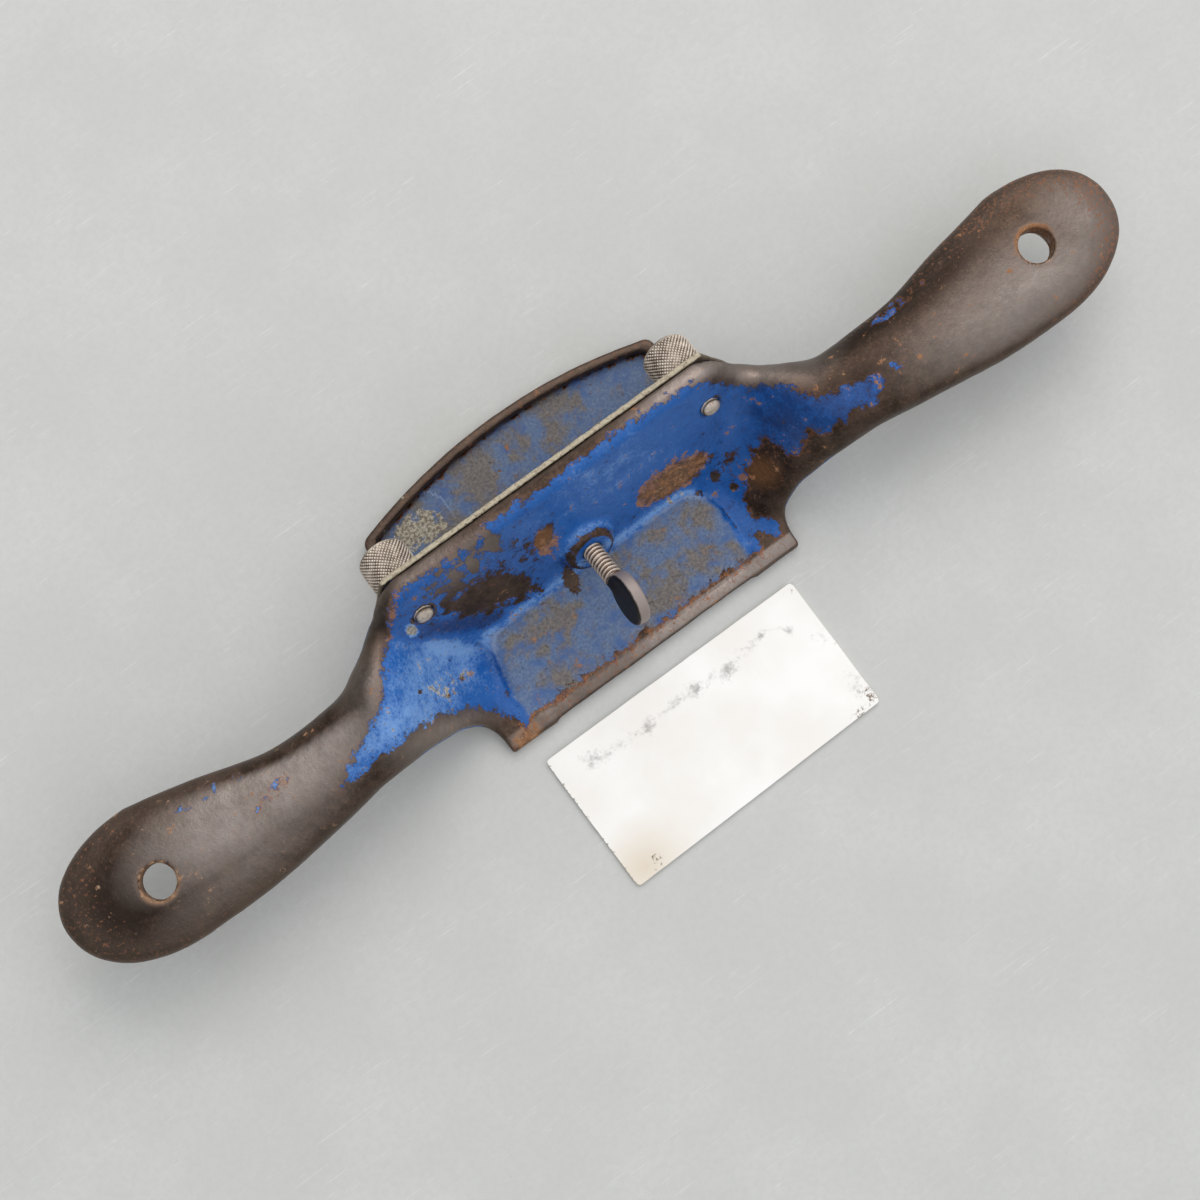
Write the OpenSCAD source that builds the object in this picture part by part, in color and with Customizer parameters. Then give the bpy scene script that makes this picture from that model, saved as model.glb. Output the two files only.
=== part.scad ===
// Cast iron cabinet scraper with two handles. Millimetres, +X along the right
// handle, +Y to the front of the sole, +Z up, origin under the middle of the sole.

/* [Sole] */
// Depth of the sole from its rear edge to the top of the front arc
sole_depth = 65; // [60:0.5:72]
// Width of the sole along its rear edge
sole_rear_w = 80.4; // [76:0.2:84]
// Width of the sole across the two ends of the front arc
sole_front_w = 81.6; // [76:0.2:86]
// Rise of the front arc above the line between its ends
front_arc_rise = 6.3; // [3:0.1:9]
// Thickness of the sole between its rims
sole_t = 2.2; // [1.6:0.1:3]
// Height of the rim around the front of the sole
front_rim_h = 5.2; // [4:0.1:7]
// Width of the rim around the front of the sole
front_rim_w = 2.6; // [1.8:0.1:3.6]
// Height of the rim along the rear edge
rear_rim_h = 3.2; // [2.6:0.1:4.4]
// Width of the rim along the rear edge
rear_rim_w = 4.4; // [3:0.1:6]
// Half width of the shallow pocket in the rear of the sole
pocket_half_w = 32.5; // [28:0.5:34]
// Slope of the raised panel between the pocket's rear and the bed, in degrees
panel_slope = 20; // [16:1:22]
// Half width of that panel
panel_half_w = 31; // [27:0.2:31.4]
// Radius of its two front corners
panel_corner_r = 6; // [2:0.5:9]
// Width of the groove between the panel and the rear rim
panel_groove = 0.5; // [0.3:0.1:1]
// Distance from the rear edge of the sole to the mouth
mouth_from_rear = 25.1; // [23:0.1:28]
// Width of the mouth across the tool
mouth_w = 73; // [71:0.5:75]
// Opening of the mouth, square to the bed
mouth_gap = 6; // [5.2:0.1:6.4]

/* [Bed] */
// Forward lean of the bed from upright, in degrees
bed_lean = 28; // [24:1:31]
// Length of the bed up its slope
bed_h = 42.6; // [40:0.2:45]
// Thickness of the bed
bed_t = 5; // [4.4:0.1:6]
// Half width of the bed where its ends run into the handles
bed_end_x = 52.5; // [50:0.5:54]
// Half width of the bed at its foot, on the sole
bed_foot_x = 42; // [41:0.2:44]
// Radius of the curve from the bed's top edge down into a handle
bed_corner_r = 13; // [10:0.5:15]
// Height of the boss round the bow screw
boss_h = 3; // [2:0.1:4]
// Diameter of the face of that boss
boss_d = 11; // [9:0.5:13]
// Diameter of the foot of that boss
boss_foot_d = 18; // [15:0.5:20]

/* [Handles] */
// Length of the tool over both handles
overall_length = 283.4; // [270:0.2:296]
// Distance from the middle of the tool to the middle of a handle's root
root_x = 44.5; // [43:0.5:46]
// Distance from the middle of the tool to the foot of the scooped ramp up to a handle
ramp_x = 31; // [29:0.5:33]
// Steepness of that ramp at its foot, in degrees
ramp_rise = 45; // [40:1:50]
// Radius of the ramp's hollow
ramp_r = 113; // [80:1:160]
// Turn of the ramp in plan, so that it starts further in at the front, in degrees
ramp_turn = 19; // [8:1:24]
// Radius of the hollow corner between the sole's rear corner and a handle's root
armpit_r = 9.5; // [7:0.5:11]
// Distance from the middle of the tool to the centre of that corner
armpit_x = 49.7; // [49:0.1:51]
// Distance from the middle of the sole back to the centre of that corner
armpit_back = 30.8; // [30:0.1:33]
// Distance from the middle of the tool to the narrowest place of a handle
neck_x = 67; // [64:0.5:71]
// Width of a handle at its narrowest place
neck_w = 21; // [18:0.2:24]
// Thickness of a handle at its narrowest place
neck_t = 15.6; // [13:0.2:18]
// Distance from the middle of the tool to the widest place of a handle
bulb_x = 117; // [112:0.5:121]
// Width of a handle at its widest place
bulb_w = 33; // [29:0.2:37]
// Thickness of a handle at its widest place
bulb_t = 11.4; // [9.6:0.2:14]
// Height of the handle's middle line above the table at its widest place
bulb_z = 24; // [21:0.2:27]
// How far behind the middle of the sole the handle's middle line runs there
bulb_back = 10.5; // [8:0.1:13]
// Diameter of the hanging hole
hang_hole_d = 8.1; // [6:0.1:9.5]
// Distance from the handle's end to the centre of the hanging hole
hang_hole_in = 22.3; // [19:0.1:26]

/* [Clamp] */
// Distance between the two clamp screws
clamp_pitch = 78; // [76.6:0.2:80]
// Height of the clamp screws up the slope of the bed
clamp_u = 30.9; // [29:0.1:32]
// Thickness of the clamp plate
plate_t = 1.3; // [1:0.05:2]
// Radius of the rounded ends of the clamp plate
plate_end_r = 8.5; // [8:0.1:9]
// Half length of the clamp plate's straight top edge
plate_top_half = 42.7; // [40:0.1:44]

/* [Screws] */
// Outside diameter of the screw threads
screw_d = 4.76; // [4.4:0.02:5]
// Radial clearance of a screw in its hole
screw_clear = 0.06; // [0.03:0.01:0.09]
// Diameter of the clamp screws' knurled heads
head_d = 12; // [10.5:0.1:13]
// Length of the clamp screws' knurled heads
head_l = 13; // [11:0.2:15]
// Height of the clamp screws' tips above the back of the bed
tip_proud = 1; // [0.4:0.1:2]
// Height of the bow screw up the slope of the bed
bow_u = 15.6; // [14.6:0.1:16.6]
// Length of bow screw thread that shows behind the boss
bow_thread_l = 9.1; // [7:0.1:11]
// Diameter of the bow screw's flat head
paddle_d = 12.6; // [11:0.1:15]
// Thickness of the bow screw's flat head
paddle_t = 3; // [2.4:0.1:3.6]
// Turn of that head about the screw, in degrees
paddle_turn = 14; // [0:1:90]

/* [Blade] */
// Length of the scraper blade
blade_l = 70; // [66:0.2:72]
// Width of the scraper blade at its left end
blade_left_w = 35.6; // [33:0.1:37]
// Width of the scraper blade at its right end
blade_right_w = 34.2; // [33:0.1:37]
// Thickness of the scraper blade
blade_t = 1; // [0.8:0.05:1.4]
// Distance from the middle of the sole back to the middle of the blade
blade_back = 56.1; // [53:0.1:66]
// Distance from the middle of the tool to the middle of the blade, to the left
blade_left = 0.8; // [-10:0.1:10]
// Turn of the blade as it lies, in degrees
blade_turn = 0.65; // [-2:0.05:2]

/* [Hidden] */

$fn = 96;
arc_fn = 360;
eps = 0.01;
big = 200;

sole_rear_y = -sole_depth / 2;
sole_front_y = sole_depth / 2;
arc_end_y = sole_front_y - front_arc_rise;
arc_r = pow(sole_front_w, 2) / (8 * front_arc_rise) + front_arc_rise / 2;
mouth_y = sole_rear_y + mouth_from_rear;
pocket_rear_y = sole_rear_y + rear_rim_w;
bore_d = screw_d + 2 * screw_clear;
head_chamfer = head_d / 12;
tip_chamfer = screw_d / 8;
screw_x = clamp_pitch / 2;
end_x = overall_length / 2;
hole_x = end_x - hang_hole_in;
plate_end_x = screw_x + plate_end_r;
room_half_w = plate_end_x + 2;
boss_face = bed_t + boss_h;
edge_r = bed_t / 2;
root_fillet = 3;
// Rise of the bed's slanting ends for each millimetre outwards
end_slope = 1.3;
// Holes through the bed run this far each way from its front face
bore_reach = 25;

// Root of the handle, where it leaves the sole and the end of the bed
shoulder_step = 5.5;
foot_step = 5.5;
toe_step = 5;
shoulder_x = root_x + shoulder_step;
foot_x = root_x - foot_step;
toe_x = foot_x - toe_step;
hand_y = -bulb_back;
root_y = hand_y + 3.5;
// Height of the handle's middle line at its narrowest place
middle_z = bulb_z + 1;
shoulder_w = 28.4;
root_w = 31.6;
shoulder_t = 24.4;
root_t = 34;

// Stations along a handle: x, middle y, half width, middle z, half thickness
STATIONS = [
    [toe_x, root_y, root_w / 2 + 0.2, bulb_z - 10, root_t / 2],
    [foot_x, root_y, root_w / 2, bulb_z - 7, root_t / 2 + 0.5],
    [root_x, root_y, root_w / 2 - 0.6, bulb_z - 4.2, root_t / 2 - 1],
    [shoulder_x, root_y, shoulder_w / 2, bulb_z - 0.4, shoulder_t / 2],
    [(shoulder_x + neck_x) / 2, hand_y + 1.1, 11.6, middle_z + 0.2, neck_t / 2 + 1.4],
    [neck_x, hand_y - 1.1, neck_w / 2, middle_z, neck_t / 2],
    [neck_x + (bulb_x - neck_x) * 0.34, hand_y - 2.35, neck_w / 2 + (bulb_w - neck_w) * 0.1,
     bulb_z + 0.6, neck_t / 2 - (neck_t - bulb_t) * 0.25],
    [neck_x + (bulb_x - neck_x) * 0.68, hand_y - 1.35, neck_w / 2 + (bulb_w - neck_w) * 0.355,
     bulb_z + 0.2, neck_t / 2 - (neck_t - bulb_t) * 0.4],
    [bulb_x, hand_y, bulb_w / 2, bulb_z, bulb_t / 2]
];
steps_per_station = 3;
end_steps = 8;
ring_n = 32;
ring_power = 2.4;
// Forward bend of the middle line over the rounded end
end_bend = 1.1;

// Cubic through four stations, at t from the second to the third
function spline(a, b, c, d, t) =
    b + t / 2 * (c - a + t * (2 * a - 5 * b + 4 * c - d + t * (3 * (b - c) + d - a)));

function station(i) = STATIONS[max(0, min(len(STATIONS) - 1, i))];

// The rounded end follows a superellipse from the widest place to the tip
function end_ring(s, power) = pow(1 - pow(s, power), 1 / power);

SECTIONS = concat(
    [for (i = [0:len(STATIONS) - 2], k = [0:steps_per_station - 1])
        spline(station(i - 1), station(i), station(i + 1), station(i + 2), k / steps_per_station)],
    [for (k = [0:end_steps])
        let (s = sin(90 * k / end_steps) * 0.998)
        [bulb_x + (end_x - bulb_x) * s, hand_y + end_bend * s, bulb_w / 2 * end_ring(s, 2.1),
         bulb_z, bulb_t / 2 * end_ring(s, 2.6)]]
);

function signed_power(v, p) = sign(v) * pow(abs(v), p);

// One ring of points round the handle at a section
function ring(s) = [for (k = [0:ring_n - 1])
    let (a = 360 * k / ring_n)
    [s[0], s[1] + s[2] * signed_power(cos(a), 2 / ring_power),
     s[3] + s[4] * signed_power(sin(a), 2 / ring_power)]];

HANDLE_POINTS = [for (s = SECTIONS) each ring(s)];
last_ring = len(SECTIONS) - 1;
HANDLE_FACES = concat(
    [[for (k = [0:ring_n - 1]) k]],
    [for (j = [0:last_ring - 1], k = [0:ring_n - 1], half = [0, 1])
        let (k2 = (k + 1) % ring_n, a = j * ring_n, b = (j + 1) * ring_n)
        half == 0 ? [a + k, b + k2, a + k2] : [a + k, b + k, b + k2]],
    [[for (k = [ring_n - 1:-1:0]) last_ring * ring_n + k]]
);

// Frame of the bed: X across, Y out of its front face, Z up its slope
module on_bed() translate([0, mouth_y, 0]) rotate([-bed_lean, 0, 0]) children();

// Turns a shape made along Z to stand square on the bed's front face
module square_to_bed(x, u) on_bed() translate([x, 0, u]) rotate([-90, 0, 0]) children();

// Plan of the sole, drawn in by inset from its sides and its arc
module sole_plan(inset, rear_y) {
    intersection() {
        polygon([[-sole_rear_w / 2 + inset, rear_y], [sole_rear_w / 2 - inset, rear_y],
                 [sole_front_w / 2 - inset, arc_end_y], [sole_front_w / 2 - inset, sole_front_y],
                 [-sole_front_w / 2 + inset, sole_front_y], [-sole_front_w / 2 + inset, arc_end_y]]);
        translate([0, sole_front_y - arc_r]) circle(r = arc_r - inset, $fn = arc_fn);
    }
}

// Sole with its front rim, its rear rim and the pocket between them
module sole() {
    difference() {
        linear_extrude(front_rim_h) sole_plan(0, sole_rear_y);
        translate([0, 0, sole_t]) linear_extrude(big) sole_plan(front_rim_w, mouth_y - bed_t);
        translate([-big / 2, sole_rear_y - eps, rear_rim_h])
            cube([big, mouth_from_rear, big]);
        translate([-pocket_half_w, pocket_rear_y, sole_t])
            cube([2 * pocket_half_w, mouth_y - pocket_rear_y, big]);
    }
}

// Panel that slopes up from the rear rim to the bed
module rear_panel() {
    rear_y = pocket_rear_y + panel_groove;
    front_y = mouth_y - eps;
    corner_y = front_y - panel_corner_r - 2;
    corner_x = panel_half_w - panel_corner_r;
    intersection() {
        linear_extrude(big) {
            translate([-panel_half_w, rear_y]) square([2 * panel_half_w, corner_y - rear_y]);
            translate([-corner_x, rear_y]) square([2 * corner_x, front_y - rear_y]);
            for (side = [-1, 1]) translate([side * corner_x, corner_y]) circle(r = panel_corner_r);
        }
        translate([0, rear_y, sole_t]) rotate([panel_slope, 0, 0])
            translate([-big / 2, -big / 2, -big]) cube([big, big, big]);
    }
}

// Outline of the bed in its own plane; the ends slant out from its foot into the handles
module bed_outline() {
    corner_x = bed_end_x - bed_corner_r;
    corner_z = bed_h - bed_corner_r;
    end_z = (bed_end_x - bed_foot_x) * end_slope;
    polygon([[-bed_foot_x, -bed_t], [bed_foot_x, -bed_t], [bed_foot_x, 0], [bed_end_x, end_z],
             [bed_end_x, corner_z], [-bed_end_x, corner_z], [-bed_end_x, end_z], [-bed_foot_x, 0]]);
    translate([-corner_x, 0]) square([2 * corner_x, bed_h]);
    for (side = [-1, 1]) translate([side * corner_x, corner_z]) circle(r = bed_corner_r);
}

// Bed plate with a round rear top edge and a fillet where it meets the sole
module bed() {
    intersection() {
        on_bed() rotate([90, 0, 0]) linear_extrude(big, center = true) bed_outline();
        on_bed() union() {
            translate([-big / 2, -bed_t, -bed_t]) cube([big, bed_t, bed_h - edge_r + bed_t]);
            translate([-big / 2, -edge_r, 0]) cube([big, edge_r, bed_h]);
            translate([0, -edge_r, bed_h - edge_r]) rotate([0, 90, 0])
                cylinder(r = edge_r, h = big, center = true);
        }
    }
    fillet_y = mouth_y - bed_t / cos(bed_lean) + sole_t * tan(bed_lean);
    translate([-pocket_half_w - root_fillet, 0, 0]) rotate([90, 0, 90])
        linear_extrude(2 * (pocket_half_w + root_fillet))
            difference() {
                polygon([[fillet_y - root_fillet, sole_t - eps], [fillet_y + 1, sole_t - eps],
                         [fillet_y + root_fillet * tan(bed_lean) + 1, sole_t + root_fillet]]);
                translate([fillet_y - root_fillet, sole_t + root_fillet]) circle(r = root_fillet);
            }
}

// Flared boss that the bow screw runs in
module bow_boss() {
    square_to_bed(0, bow_u) translate([0, 0, -boss_face])
        cylinder(d1 = boss_d, d2 = boss_foot_d, h = boss_face - bed_t / 2);
}

// One handle with its root, on the +X side
module handle() {
    polyhedron(points = HANDLE_POINTS, faces = HANDLE_FACES, convexity = 6);
}

// Web from the sole's rear corner to the handle's root, slanted underneath as the bed's ends are
module rear_shoulder() {
    web_start_x = ramp_x - 2;
    web_end_x = armpit_x + armpit_r;
    difference() {
        translate([web_start_x, sole_rear_y, 0])
            cube([web_end_x - web_start_x, mouth_from_rear, middle_z]);
        translate([armpit_x, -armpit_back, -eps]) cylinder(r = armpit_r, h = big);
        translate([armpit_x, -armpit_back - big, -eps]) cube([big, big + armpit_r, big]);
        translate([armpit_x - armpit_r, -armpit_back - big, -eps]) cube([big, big, big]);
        translate([bed_foot_x, 0, 0]) rotate([90, 0, 0])
            linear_extrude(big, center = true)
                polygon([[0, -eps], [big, -eps], [big, big * end_slope * cos(bed_lean)]]);
    }
}

// Everything above the scooped ramp that climbs from the pocket to the top of a handle's root
module above_ramp() {
    translate([ramp_x, hand_y, rear_rim_h]) rotate([0, 0, ramp_turn])
        translate([-ramp_r * sin(ramp_rise), 0, ramp_r * cos(ramp_rise)])
            rotate([90, 0, 0]) cylinder(r = ramp_r, h = big, center = true, $fn = arc_fn);
}

module body_casting() color([0.16, 0.34, 0.62]) {
    difference() {
        union() {
            sole();
            rear_panel();
            bed();
            bow_boss();
            for (side = [0, 1]) mirror([side, 0, 0]) difference() {
                union() {
                    handle();
                    rear_shoulder();
                }
                above_ramp();
            }
        }
        // Everything under the sole's face
        translate([-big / 2, -big / 2, -big]) cube([big, big, big]);
        // Room for the plate and the blade in front of the bed
        intersection() {
            on_bed() translate([-room_half_w, 0, 0]) cube([2 * room_half_w, big, big]);
            translate([-big / 2, -big / 2, front_rim_h]) cube([big, big, big]);
        }
        // Mouth
        on_bed() translate([-mouth_w / 2, 0, -big / 4]) cube([mouth_w, mouth_gap, big / 2]);
        // Threaded holes, at the screws' outside diameter
        for (side = [-1, 1]) square_to_bed(side * screw_x, clamp_u)
            cylinder(d = bore_d, h = 2 * bore_reach, center = true);
        square_to_bed(0, bow_u) translate([0, 0, -bore_reach])
            cylinder(d = bore_d, h = bore_reach + boss_face);
        // Hanging holes
        for (side = [-1, 1]) translate([side * hole_x, hand_y, 0])
            cylinder(d = hang_hole_d, h = big);
    }
}

// Pressed plate that holds the blade on the bed
module clamp_plate() color([0.62, 0.58, 0.5]) {
    on_bed() difference() {
        translate([0, plate_t, 0]) rotate([90, 0, 0]) linear_extrude(plate_t) {
            translate([-screw_x, clamp_u - plate_end_r])
                square([2 * screw_x, 2 * plate_end_r]);
            polygon([[-plate_end_x + 0.5, clamp_u], [plate_end_x - 0.5, clamp_u],
                     [plate_end_x - 1.5, clamp_u + 5], [plate_top_half, bed_h],
                     [-plate_top_half, bed_h], [-plate_end_x + 1.5, clamp_u + 5]]);
            for (side = [-1, 1]) translate([side * screw_x, clamp_u]) circle(r = plate_end_r);
        }
        for (side = [-1, 1]) translate([side * screw_x, 0, clamp_u]) rotate([90, 0, 0])
            cylinder(d = bore_d, h = 4 * plate_t, center = true);
    }
}

// Knurled thumb screw through the plate and the bed
module clamp_screw(side) {
    shank_l = plate_t + bed_t + tip_proud;
    square_to_bed(side * screw_x, clamp_u) translate([0, 0, plate_t]) rotate_extrude()
        polygon([[0, -shank_l], [screw_d / 2 - tip_chamfer, -shank_l],
                 [screw_d / 2, -shank_l + tip_chamfer], [screw_d / 2, 0],
                 [head_d / 2 - head_chamfer / 2, 0], [head_d / 2, head_chamfer / 2],
                 [head_d / 2, head_l - head_chamfer], [head_d / 2 - head_chamfer, head_l],
                 [0, head_l]]);
}

module left_clamp_screw() color([0.66, 0.62, 0.58]) clamp_screw(-1);
module right_clamp_screw() color([0.66, 0.62, 0.58]) clamp_screw(1);

// Screw that bows the blade, with a flat round head
module bow_screw() color([0.35, 0.32, 0.3]) {
    head_middle = boss_face + bow_thread_l + paddle_d / 2;
    square_to_bed(0, bow_u) {
        translate([0, 0, -head_middle + paddle_d / 4])
            cylinder(d = screw_d, h = head_middle - paddle_d / 4);
        translate([0, 0, -head_middle]) rotate([0, 0, paddle_turn]) rotate([0, 90, 0])
            cylinder(d = paddle_d, h = paddle_t, center = true);
    }
}

// Loose blade, out of the tool and flat on the table, its bevels underneath
module scraper_blade() color([0.86, 0.86, 0.84]) {
    half_l = blade_l / 2;
    taper = atan((blade_left_w - blade_right_w) / 2 / blade_l);
    translate([-blade_left, -blade_back, 0]) rotate([0, 0, blade_turn]) difference() {
        linear_extrude(blade_t)
            polygon([[-half_l, -blade_left_w / 2], [half_l, -blade_right_w / 2],
                     [half_l, blade_right_w / 2], [-half_l, blade_left_w / 2]]);
        for (side = [-1, 1]) translate([-half_l, side * blade_left_w / 2, blade_t])
            rotate([0, 0, -side * taper]) rotate([side * 45, 0, 0])
                translate([-half_l, -blade_t * 2 + side * blade_t * 2, -blade_t * 4])
                    cube([2 * blade_l, blade_t * 4, blade_t * 4]);
    }
}

body_casting();
clamp_plate();
left_clamp_screw();
right_clamp_screw();
bow_screw();
scraper_blade();
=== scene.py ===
from math import cos, pi, radians, sin, tan

import bpy
import numpy as np
from mathutils import Matrix, Vector


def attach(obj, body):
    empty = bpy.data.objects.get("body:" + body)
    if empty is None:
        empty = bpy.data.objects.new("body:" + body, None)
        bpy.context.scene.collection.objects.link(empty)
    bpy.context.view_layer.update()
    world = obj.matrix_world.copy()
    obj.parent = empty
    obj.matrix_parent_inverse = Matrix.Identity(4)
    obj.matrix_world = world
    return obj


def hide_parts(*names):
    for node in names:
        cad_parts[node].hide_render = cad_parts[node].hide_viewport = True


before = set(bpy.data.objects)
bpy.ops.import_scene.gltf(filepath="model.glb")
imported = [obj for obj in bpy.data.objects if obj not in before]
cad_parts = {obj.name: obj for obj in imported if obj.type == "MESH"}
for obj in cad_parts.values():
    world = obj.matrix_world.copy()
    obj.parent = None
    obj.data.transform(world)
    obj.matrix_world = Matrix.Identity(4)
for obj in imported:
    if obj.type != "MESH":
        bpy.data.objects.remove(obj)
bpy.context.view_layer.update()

# Sizes below are in millimetres, in the frame of the CAD model
MM = 0.001
CASTING_STEP = 0.6
PLATE_STEP = 0.36
PADDLE_STEP = 0.25

# Bed
BED_LEAN = radians(28)
BED_COS = cos(BED_LEAN)
BED_SIN = sin(BED_LEAN)
MOUTH_Y = -7.4
BED_THICK = 5.0
BED_HEIGHT = 42.6
BED_END_X = 52.5
BED_CORNER_RADIUS = 13.0
LEFT_CORNER_X = 43.8
RIGHT_CORNER_X = 42.4
BOSS_RADIUS = 5.5
BOSS_HEIGHT = 3.0

# Sole
SOLE_REAR = -32.5
SOLE_FRONT = 32.5
SOLE_REAR_HALF = 40.2
SOLE_WIDENING = 0.6 / 58.8
ARC_RADIUS = 135.3
SOLE_FLOOR = 2.3
FRONT_RIM_TOP = 5.2
FRONT_RIM_WIDTH = 2.6
REAR_RIM_TOP = 3.2
MOUTH_HALF_WIDTH = 36.5
MOUTH_GAP = 6.0
ROOM_HALF_WIDTH = 49.5
POCKET_MIDDLE = (-1.0, -18.7)
POCKET_HALF = (33.2, 10.5)

# Raised panel that slopes up from the rear rim to the bed
PANEL_REAR = -28.6
PANEL_FRONT = -8.0
PANEL_RIGHT = 30.4
PANEL_LEFT = -31.3
PANEL_BASE = 2.3
PANEL_SLOPE = radians(20)
PANEL_CORNER = 8.0

# Clamp plate
PLATE_THICK = 1.3
PLATE_END_RADIUS = 8.5
PLATE_TOP_HALF = 42.7

# Screws
SCREW_RADIUS = 2.38
BORE_RADIUS = 2.44
THREAD_PITCH = 1.058
THREAD_DEPTH = 0.5
CLAMP_X = 39.0
CLAMP_U = 30.9
HEAD_RADIUS = 6.0
HEAD_LENGTH = 13.0
TIP_PROUD = 1.0
KNURL_STARTS = 38
KNURL_DEPTH = 0.42
# Rounded end of a head: distances from its end face and from its full radius
HEAD_END = [(0.95, 0.22), (0.75, 0.24), (0.3, 0.7), (0.05, 1.1), (0.0, 1.6), (0.05, 3.5)]
BOW_U = 15.6
BOW_THREAD = 9.1
PADDLE_RADIUS = 6.3
PADDLE_HALF_THICK = 1.8
PADDLE_TURN = radians(14)

# Handles, on one side: x, middle y, half width, middle z, half thickness
HANDLE_STATIONS = [
    (34.0, -7.0, 16.0, 14.0, 17.0),
    (39.0, -7.0, 15.8, 17.0, 17.5),
    (44.5, -6.9, 15.2, 19.8, 16.0),
    (50.0, -7.0, 14.2, 23.6, 12.2),
    (58.5, -9.4, 11.7, 25.2, 9.2),
    (67.0, -11.6, 10.5, 25.0, 7.8),
    (84.0, -12.9, 11.7, 24.6, 6.8),
    (101.0, -11.9, 14.7, 24.2, 6.1),
    (117.0, -10.4, 16.4, 24.0, 5.7),
]
BULB_X = 117.0
HANDLE_END = 141.7
GRIP_POWER = 2.15
ARMPIT_RADIUS = 9.5
ARMPIT_X = 49.7
ARMPIT_Y = -30.8
HOLE_X = 119.4
HOLE_Y = -10.5
HOLE_RADIUS = 4.05
HOLE_MIDDLE_Z = 24.0
HOLE_FLARE = 1.1
# Left and right grip: the left one is a little longer and fuller
GRIP_STRETCH = (1.03, 0.965)
GRIP_SHIFT = (0.9, -0.7)
GRIP_WIDTH = (1.015, 0.985)

# Blade
BLADE_LENGTH = 70.0
BLADE_LEFT_WIDTH = 35.6
BLADE_RIGHT_WIDTH = 34.2
BLADE_THICK = 1.0
BLADE_COLUMNS = 70
BLADE_ROWS = 35
BLADE_CENTRE = (-0.8, -56.1)
BLADE_TURN = radians(0.65)

# Camera and world
CAMERA_PLACE = Vector((-44.15, -44.60, 596.85)) * MM
CAMERA_RIGHT = Vector((0.8074, -0.5894, 0.0261))
CAMERA_DOWN = Vector((-0.5862, -0.8064, -0.0781))
FOCAL_IN_FRAMES = 2597.0 / 1200.0
SENSOR = 36.0
WORLD_BRIGHT_SIDE = (0.42, -0.02, 0.91)
WORLD_DARKEST = 0.26
WORLD_BRIGHTEST = 1.17
KEY_PLACE = Vector((0.62, 0.72, 1.25))
KEY_SIZE = 1.1
KEY_POWER = 6.5
KEY_COLOUR = (1.0, 0.97, 0.92)


# Fields: negative inside the metal, in millimetres

def unit(v):
    """The value kept between 0 and 1."""
    return np.clip(v, 0.0, 1.0)


def smooth_min(a, b, k):
    h = unit(0.5 + 0.5 * (b - a) / k)
    return b + (a - b) * h - k * h * (1.0 - h)


def smooth_max(a, b, k):
    return -smooth_min(-a, -b, k)


def rise(v, start, end):
    t = unit((v - start) / (end - start))
    return t * t * (3.0 - 2.0 * t)


def to_bed(y, z):
    """Distance in front of the bed's face and distance up its slope."""
    n = (y - MOUTH_Y) * BED_COS - z * BED_SIN
    u = (y - MOUTH_Y) * BED_SIN + z * BED_COS
    return n, u


def rounded_box_2d(a, b, half_a, half_b, radius):
    qa = np.abs(a) - half_a + radius
    qb = np.abs(b) - half_b + radius
    outside = np.hypot(np.maximum(qa, 0.0), np.maximum(qb, 0.0))
    return outside + np.minimum(np.maximum(qa, qb), 0.0) - radius


def sole_outline(x, y):
    side = np.abs(x) - SOLE_REAR_HALF - SOLE_WIDENING * (y - SOLE_REAR)
    arc = np.hypot(x, y - SOLE_FRONT + ARC_RADIUS) - ARC_RADIUS
    return smooth_max(smooth_max(side, SOLE_REAR - y, 1.2), arc, 2.0)


def pocket_outline(x, y):
    """Recess in the rear of the sole, inside its rear rim."""
    return rounded_box_2d(x - POCKET_MIDDLE[0], y - POCKET_MIDDLE[1], *POCKET_HALF, 3.0)


def panel_outline(x, y):
    """Plan of the raised panel; its right front corner is round, its left side slants."""
    left = PANEL_LEFT + 0.19 * (y + 10.8) - x
    reach_x = np.maximum(x - PANEL_RIGHT + PANEL_CORNER, 0.0)
    reach_y = np.maximum(y - PANEL_FRONT + PANEL_CORNER, 0.0)
    right = np.hypot(reach_x, reach_y) - PANEL_CORNER
    right = np.where(np.maximum(reach_x, reach_y) > 0.0, right, np.maximum(x - PANEL_RIGHT, y - PANEL_FRONT))
    return smooth_max(smooth_max(left, right, 3.0), PANEL_REAR - y, 1.0)


def panel_field(x, y, z):
    top = (z - PANEL_BASE - tan(PANEL_SLOPE) * (y - PANEL_REAR)) * cos(PANEL_SLOPE)
    return smooth_max(panel_outline(x, y) * 0.85, top, 1.8)


def sole_field(x, y, z):
    outline = sole_outline(x, y)
    top = REAR_RIM_TOP + (FRONT_RIM_TOP - REAR_RIM_TOP) * rise(y, -12.0, -8.0)
    body = smooth_max(outline, z - top, 1.1)
    front = np.maximum(smooth_max(outline + FRONT_RIM_WIDTH, SOLE_FLOOR - z, 1.6), -9.0 - y)
    body = smooth_max(body, -front, 1.1)
    pocket = smooth_max(pocket_outline(x, y) * 0.8, REAR_RIM_TOP - 0.9 - z, 1.4)
    return smooth_max(body, -pocket, 1.0)


def under_root(along, z):
    """Above 0 below the slanting underside of the handle's root."""
    return (1.15 * (along - 42.0) - z) * 0.66


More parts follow.
